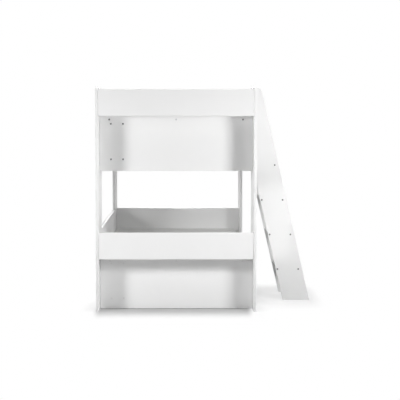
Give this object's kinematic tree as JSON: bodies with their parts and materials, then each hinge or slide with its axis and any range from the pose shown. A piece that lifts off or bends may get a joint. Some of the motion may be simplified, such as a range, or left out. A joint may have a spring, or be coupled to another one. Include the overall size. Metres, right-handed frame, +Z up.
{
  "type": "bunk bed",
  "caption": "Panel-built bunk bed with open book niches at both ends, slatted bases, a rounded entry cut-out and a leaning board ladder.",
  "frame": {"origin": "on the floor under the middle of the whole object's box, ladder included", "axes": "+Z up, Y along the bed's length, -X towards the wall side, +X towards the ladder side, -Y the end seen in the picture"},
  "size_m": [1.3797, 2.2, 1.406],
  "materials": {
    "board_foil": "white foil-faced board, satin",
    "slat_foil": "white painted slat, matt",
    "steel": "zinc-plated pressed steel"
  },
  "bodies": {
    "root": {"upright_wall_near": "board_foil", "upright_front_near": "board_foil", "upright_wall_far": "board_foil", "upright_front_far": "board_foil", "lip_lower_near": "board_foil", "niche_shelf_lower_near": "board_foil", "end_board_lower_near": "board_foil", "lip_lower_far": "board_foil", "niche_shelf_lower_far": "board_foil", "end_board_lower_far": "board_foil", "lip_upper_near": "board_foil", "niche_shelf_upper_near": "board_foil", "end_board_upper_near": "board_foil", "lip_upper_far": "board_foil", "niche_shelf_upper_far": "board_foil", "end_board_upper_far": "board_foil", "side_rail_wall_lower": "board_foil", "side_rail_front_lower": "board_foil", "side_board_wall_upper": "board_foil", "side_board_front_upper": "board_foil", "ledge_wall_lower": "slat_foil", "ledge_front_lower": "slat_foil", "slat_lower_01": "slat_foil", "slat_lower_02": "slat_foil", "slat_lower_03": "slat_foil", "slat_lower_04": "slat_foil", "slat_lower_05": "slat_foil", "slat_lower_06": "slat_foil", "slat_lower_07": "slat_foil", "slat_lower_08": "slat_foil", "slat_lower_09": "slat_foil", "slat_lower_10": "slat_foil", "slat_lower_11": "slat_foil", "slat_lower_12": "slat_foil", "ledge_wall_upper": "slat_foil", "ledge_front_upper": "slat_foil", "slat_upper_01": "slat_foil", "slat_upper_02": "slat_foil", "slat_upper_03": "slat_foil", "slat_upper_04": "slat_foil", "slat_upper_05": "slat_foil", "slat_upper_06": "slat_foil", "slat_upper_07": "slat_foil", "slat_upper_08": "slat_foil", "slat_upper_09": "slat_foil", "slat_upper_10": "slat_foil", "slat_upper_11": "slat_foil", "slat_upper_12": "slat_foil", "ladder_stile_near": "board_foil", "ladder_stile_far": "board_foil", "ladder_tread_1": "board_foil", "ladder_tread_2": "board_foil", "ladder_tread_3": "board_foil", "ladder_tread_4": "board_foil", "seam_plate_wall_near": "steel", "seam_plate_front_near": "steel", "seam_plate_wall_far": "steel", "seam_plate_front_far": "steel"}
  },
  "joints": []
}
